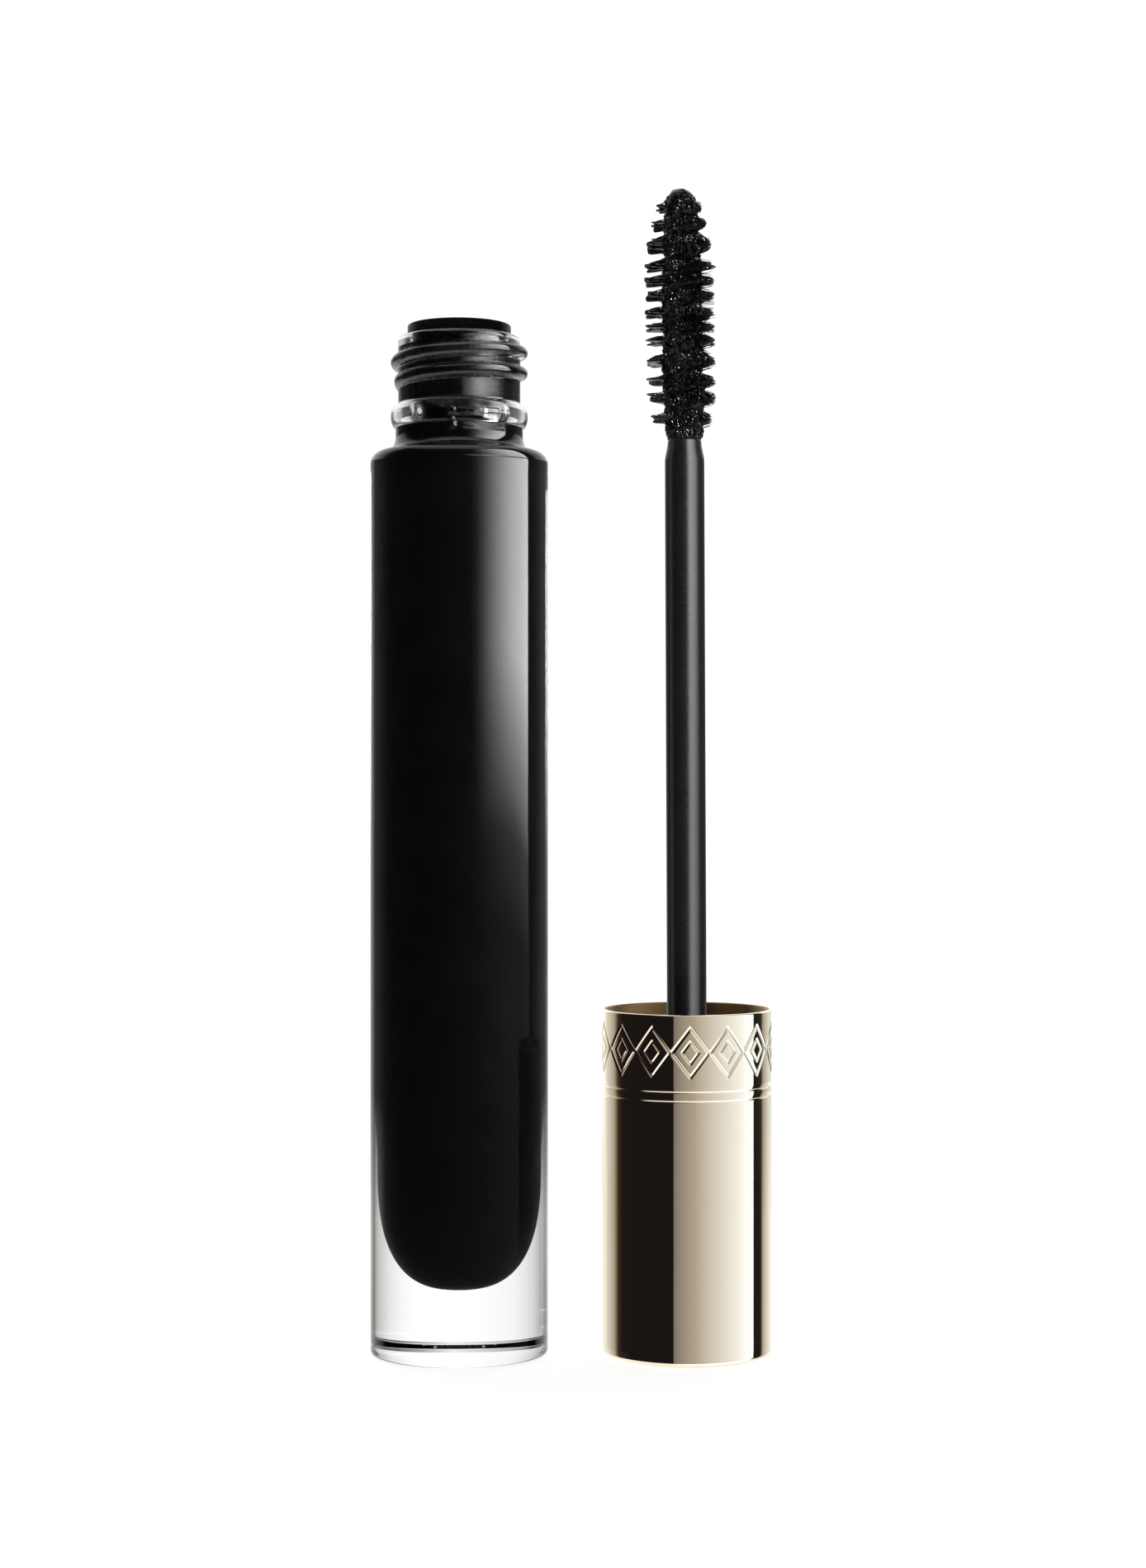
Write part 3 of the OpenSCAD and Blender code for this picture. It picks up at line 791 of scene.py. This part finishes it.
def make_shell(polished, inner):
    """The cap's metal overshell, with its two grooves and its engraved band."""
    wall, edge, rim, floor_z = 0.45, 0.6, 0.16, 0.6
    grooves, groove_deep = (25.5, 26.4), 0.055
    band_low, band_high = grooves[1] + 0.5, CAP_H - 0.5
    middle, engraved = (band_low + band_high) / 2 + 0.1, 0.13
    outline = [(CAP_R * t, 0.0) for t in np.linspace(0, 0.9, 6)]
    outline += arc(CAP_R - edge, edge, edge, edge, -90, 0, 12)
    outline += [(CAP_R, z) for z in rows_between(1.2, grooves[0] - 0.3, 2.5)]
    for groove in grooves:
        for off, deep in ((0.1, 0.0), (0.07, 0.012), (0.015, groove_deep)):
            outline.append((CAP_R - deep, groove - off))
        for off, deep in ((0.015, groove_deep), (0.07, 0.012), (0.1, 0.0)):
            outline.append((CAP_R - deep, groove + off))
    band_from = len(outline)
    outline += [(CAP_R, z) for z in rows_between(band_low, band_high, 0.075)]
    band_to = len(outline)
    outline += [(CAP_R, CAP_H - 0.3)]
    outline += arc(CAP_R - rim, CAP_H - rim, rim, rim, 0, 90)
    inside_from = len(outline)
    outline += arc(CAP_R - wall + rim, CAP_H - rim, rim, rim, 90, 180)
    outline += [(CAP_R - wall, z) for z in rows_between(CAP_H - 0.4, 1.2, 3)]
    outline += [(CAP_R - wall, floor_z), (4.0, floor_z), (0.0, floor_z)]

    def relief(angles, r, z, row):
        radii = np.full(len(angles), r)
        if band_from <= row < band_to:
            radii = radii - engraved * lozenge_relief(angles, z, middle, 14)
        return radii

    points, faces, owner = lathe(outline, 630, CAP_X, relief)
    # the inside takes the second material, gold darkened as painted shade
    marks = [1 if row >= inside_from else 0 for row in owner]
    return new_piece("cap_metal", points, faces, [polished, inner], "cap", "cap_shell",
                     marks)


def make_stem(material):
    """The moulded stem, tapered where it holds the brush."""
    low, high, chamfer, tapered = stem_low[2], STEM_TOP, 0.2, 0.3
    outline = [(0.0, low), (STEM_R - chamfer, low), (STEM_R, low + chamfer)]
    outline += [(STEM_R, z) for z in rows_between(low + 3, high - 2.6, 5)]
    for t in np.linspace(0, 1, 12):
        outline.append((STEM_R - tapered * smooth_step(t), high - 2.2 + 2.1 * t))
    outline += [(STEM_R - tapered - 0.08, high), (0.0, high)]
    points, faces, _ = lathe(outline, 96, CAP_X)
    points = [(x + wand_lean(z), y, z) for x, y, z in points]
    return new_piece("stem", points, faces, [material], "cap", "wand_stem")


def make_wire(material):
    """Two wires twisted together along the brush and into the stem."""
    low, high = STEM_TOP - 7.5, BRUSH_HIGH - 1.4
    sides, strand_r, twist = 8, 0.2, 1.55
    points, faces = [], []
    steps = int((high - low) / 0.12)
    for strand in (0, 1):
        start = len(points)
        for i in range(steps + 1):
            z = low + (high - low) * i / steps
            a = 2 * math.pi * (z / twist) + strand * math.pi
            cx, cy = CAP_X + wand_lean(z) + strand_r * math.cos(a), strand_r * math.sin(a)
            for j in range(sides):
                b = 2 * math.pi * j / sides
                points.append((cx + strand_r * math.cos(b), cy + strand_r * math.sin(b), z))
        for i in range(steps):
            for j in range(sides):
                k = (j + 1) % sides
                row = start + i * sides
                faces.append([row + j, row + k, row + sides + k, row + sides + j])
        faces.append([start + j for j in range(sides)][::-1])
        faces.append([start + steps * sides + j for j in range(sides)])
    return new_piece("twisted_wire", points, faces, [material], "cap", "wire_core")


# ---------------------------------------------------------------- the brush
# the outline of the bristles' tips, as shares of the brush's length and of its radius
PROFILE_T = [0.0, 0.05, 0.11, 0.2, 0.65, 0.73, 0.79, 0.87, 0.94, 1.0]
PROFILE_R = [0.45, 0.73, 0.98, 1.0, 1.0, 0.97, 0.91, 0.77, 0.62, 0.4]
# the paste between the bristle rows: its radius in millimetres, by the same shares
CORE_T = [0.0, 0.04, 0.2, 0.5, 0.75, 0.86, 0.93, 0.97, 1.0]
CORE_R = [1.56, 1.75, 1.95, 1.9, 1.62, 1.52, 1.5, 1.35, 1.0]
# the rows that one side shows, and the helices that they belong to
ROWS = 14.7
STARTS = 2


def brush_radius(t):
    """The outer radius of the brush, t from 0 at the stem to 1 at the tip."""
    return BRUSH_R * np.interp(t, PROFILE_T, PROFILE_R)


def core_radius(t):
    """The radius of the paste between the bristle rows."""
    return np.interp(t, CORE_T, CORE_R)


def row_count(t):
    """How many bristle rows lie below t on one side. Their spacing is a little uneven."""
    return ROWS * t - 0.5 + 0.22 * np.sin(11 * t + 0.6) + 0.12 * np.sin(29 * t)


def wand_lean(z):
    """The wand isn't quite straight: how far it leans towards -X at a height."""
    up = (z - CAP_H) / (BRUSH_LOW - CAP_H)
    return -0.22 * np.clip(up, 0, 1) - 0.4 * np.clip((z - BRUSH_LOW) / BRUSH_LEN, 0, 1)


def fullness(angle):
    """0 on -X, where the rows are thin and far apart, and 1 on +X, where they are bushy."""
    return 0.5 + 0.5 * np.cos(angle + 0.25)


def stand_out(angle):
    """1 where the clumps stand out in full: a narrow finger on -X and the bushy half on +X."""
    off = np.abs(np.degrees(np.arctan2(np.sin(angle - math.pi), np.cos(angle - math.pi))))
    return np.maximum(smooth_step((34 - off) / 16), smooth_step((off - 70) / 30))


class Lumps:
    """Smooth repeatable unevenness on the cylinder, from a few dozen waves."""

    def __init__(self, seed, waves, scale_z, max_round):
        own = np.random.default_rng(seed)
        self.round = own.integers(0, max_round + 1, waves)
        self.up = own.normal(0, scale_z, waves)
        self.shift = own.uniform(0, 2 * math.pi, waves)
        self.size = 1 / math.sqrt(waves / 2)

    def at(self, angle, t):
        total = 0.0
        for n, m, s in zip(self.round, self.up, self.shift):
            total = total + np.cos(n * angle + m * t + s)
        return total * self.size


def make_brush_paste(material):
    """Mascara on the brush: a thick core, ragged fins that cling to the helical bristle rows, and
    small droplets."""
    sides, rows, beads, last = 220, 380, 420, 0.965
    broad = Lumps(1, 26, 30, 6)
    fine = Lumps(2, 40, 150, 34)
    ragged = Lumps(3, 34, 16, 30)
    angle, t = np.meshgrid(np.arange(sides) * 2 * math.pi / sides, np.linspace(0, last, rows))
    full = fullness(angle)
    outer = brush_radius(t)
    core = core_radius(t) * (1 + 0.05 * broad.at(angle, t) + 0.025 * fine.at(angle, t))
    phase = row_count(t) - STARTS * angle / (2 * math.pi)
    phase = phase + (0.05 + 0.05 * full) * broad.at(angle + 1, t)
    off = np.abs((phase + 0.5) % 1 - 0.5) * 2
    width = 0.21 + 0.44 * full + 0.04 * ragged.at(angle, t + 0.5)
    blade = np.clip(1 - (off / width) ** 2.4, 0, 1) ** 0.8
    reach = (0.96 - 0.27 * full + 0.07 * ragged.at(angle, t)) * (0.66 + 0.34 * stand_out(angle))
    fade = smooth_step((t - 0.012) / 0.03)
    rise = np.clip(outer * np.clip(reach, 0.5, 1.0) - core, 0, None)
    fillet = 0.22 * np.clip(1 - off / (width + 0.35), 0, 1) ** 2
    r = core + fade * (rise * blade + fillet) + 0.035 * fine.at(angle, t) * smooth_step(t / 0.02)
    out = np.clip((r - core) / (outer - core + 0.01), 0, 1)
    foot_z = BRUSH_LOW + 0.02
    z = foot_z + BRUSH_LEN * t + (0.12 * ragged.at(angle + 2, t * 0.6) - 0.1) * out
    x = CAP_X + wand_lean(z) + r * np.cos(angle)
    points = np.stack([x, r * np.sin(angle), z], -1).reshape(-1, 3).tolist()
    faces = []
    for i in range(rows - 1):
        for j in range(sides):
            k = (j + 1) % sides
            faces.append([i * sides + j, i * sides + k, (i + 1) * sides + k, (i + 1) * sides + j])
    foot, tip = len(points), len(points) + 1
    top_z = float(z[-1].mean())
    points += [(CAP_X + wand_lean(BRUSH_LOW), 0, foot_z), (CAP_X + wand_lean(top_z), 0, top_z)]
    for j in range(sides):
        k = (j + 1) % sides
        faces.append([foot, k, j])
        faces.append([tip, (rows - 1) * sides + j, (rows - 1) * sides + k])
    for _ in range(beads):
        around, up = rng.uniform(0, 2 * math.pi), rng.uniform(0.02, 0.95)
        row, side = int(up / last * (rows - 1)), int(around / (2 * math.pi) * sides) % sides
        add_bead(points, faces, Vector(points[row * sides + side]), rng.uniform(0.06, 0.13))
    return new_piece("mascara_on_brush", points, faces, [material], "cap", "mascara_coat")


def add_bead(points, faces, centre, radius):
    """A small smooth droplet of paste."""
    first, rows, sides = len(points), 5, 8
    points.append(tuple(centre - Vector((0, 0, radius))))
    for i in range(1, rows):
        up = math.pi * i / rows
        for j in range(sides):
            a = 2 * math.pi * j / sides
            points.append(tuple(centre + radius * Vector((
                math.sin(up) * math.cos(a), math.sin(up) * math.sin(a), -math.cos(up)))))
    points.append(tuple(centre + Vector((0, 0, radius))))
    last = len(points) - 1
    for j in range(sides):
        k = (j + 1) % sides
        faces.append([first, first + 1 + k, first + 1 + j])
        faces.append([last, last - sides + j, last - sides + k])
        for i in range(rows - 2):
            row = first + 1 + i * sides
            faces.append([row + j, row + k, row + sides + k, row + sides + j])


def make_tip(material):
    """The rounded drop of mascara that closes the brush's tip."""
    lumps = Lumps(5, 24, 5, 5)
    sides, rows, drop_r, drop_h = 96, 40, 1.58, 2.55
    points, faces = [], []
    for i in range(rows + 1):
        up = i / rows
        z = BRUSH_HIGH - 0.05 - drop_h * (1 - math.sin(up * math.pi / 2))
        for j in range(sides):
            a = 2 * math.pi * j / sides
            r = drop_r * math.cos(up * math.pi / 2) ** 0.62
            r *= 1 + 0.06 * float(lumps.at(a, up * 1.5))
            points.append((CAP_X + wand_lean(z) + r * math.cos(a), r * math.sin(a), z))
    for i in range(rows):
        for j in range(sides):
            k = (j + 1) % sides
            faces.append([i * sides + j, i * sides + k, (i + 1) * sides + k, (i + 1) * sides + j])
    faces.append(list(range(sides))[::-1])
    faces.append([rows * sides + j for j in range(sides)])
    return new_piece("mascara_on_tip", points, faces, [material], "cap", "tip_drop")


def make_bristles(material):
    """Tapered nylon bristles in two helical rows, in clumps whose tips lean together."""
    points, faces = [], []
    clumps = 560
    spacing = BRUSH_LEN / ROWS
    for n in range(clumps):
        t0 = 0.02 + 0.95 * (n + 0.5) / clumps
        start = n % STARTS
        a0 = 2 * math.pi * (float(row_count(t0)) - start) / STARTS
        full = float(fullness(a0))
        tilt = rng.normal(-0.06, 0.04 + 0.1 * full)
        spread = spacing * (0.02 + 0.215 * full)
        together = 0.3 + 0.2 * full
        reach = rng.uniform(0.93, 1.0) * (1 - 0.06 * full) * (0.68 + 0.32 * float(stand_out(a0)))
        for _ in range(int(2.5 + 9 * full)):
            off_a, off_z = rng.normal(0, 0.06), rng.normal(0, spread)
            z = BRUSH_LOW + BRUSH_LEN * t0 + off_z
            length = float(brush_radius(t0)) * reach * rng.uniform(0.9, 1.0)
            bend = -off_a * (1 - together) + rng.normal(0, 0.02)
            rise = tilt - off_z * (1 - together) + rng.normal(0, 0.04 + 0.03 * full)
            add_bristle(points, faces, a0 + off_a, z, length, bend, rise, rng.uniform(0.034, 0.05))
    return new_piece("bristle_tufts", points, faces, [material], "cap", "bristles")


def add_bristle(points, faces, angle, z, length, bend, rise, thick):
    """One bristle from the wire outward, bent a little sideways and up or down."""
    first = len(points)
    sides, joints = 5, (0.3, 0.6, 0.85, 1.0)
    for share in joints:
        a = angle + bend * share * share
        r = length * share
        width = thick * (1 - 0.5 * share ** 3)
        cz = min(max(z + rise * share * share, BRUSH_LOW + 0.1), BRUSH_HIGH - 0.25)
        cx, cy = CAP_X + wand_lean(cz) + r * math.cos(a), r * math.sin(a)
        for j in range(sides):
            b = 2 * math.pi * j / sides
            side = width * math.cos(b)
            points.append((cx - side * math.sin(a), cy + side * math.cos(a),
                           cz + width * math.sin(b)))
    for i in range(len(joints) - 1):
        for j in range(sides):
            k = (j + 1) % sides
            row = first + i * sides
            faces.append([row + j, row + k, row + sides + k, row + sides + j])
    faces.append([first + j for j in range(sides)][::-1])
    last = first + (len(joints) - 1) * sides
    faces.append([last + j for j in range(sides)])


# ---------------------------------------------------------------- the scene
make_camera()
make_world()
make_floor()

black_paste = wet_paste()
glass = make_glass(clear_glass(), neck_glass())
make_fill(fill_paste())
make_wiper(wiper_plastic())
shell = make_shell(gold_metal(), gold_inside_painted_shade())
# the glass doesn't mirror the metal, as the flag keeps the metal from mirroring the glass
shell.visible_glossy = False
make_flag()
stem = make_stem(stem_plastic())
make_wire(wire_steel())
coat = make_brush_paste(black_paste)
tip = make_tip(black_paste)
make_bristles(bristle_nylon())

# these two keep their CAD meshes
inner_plastic = plastic("inner_plastic", (0.02, 0.017, 0.014), (0.035, 0.03, 0.025), 0.45)
liner_foam = plastic("liner_foam", (0.55, 0.55, 0.53), (0.68, 0.68, 0.66), 0.8, 2500.0, 0.03)
for node, material in (("inner_cap", inner_plastic), ("cap_liner", liner_foam)):
    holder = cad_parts[node]
    for material_slot in holder.material_slots:
        material_slot.material = material

light_cap(shell)
light_glass(glass)
light_wand(stem, [coat, tip])

# plain colours, so that the studio's white stays white
bpy.context.scene.view_settings.view_transform = "Standard"
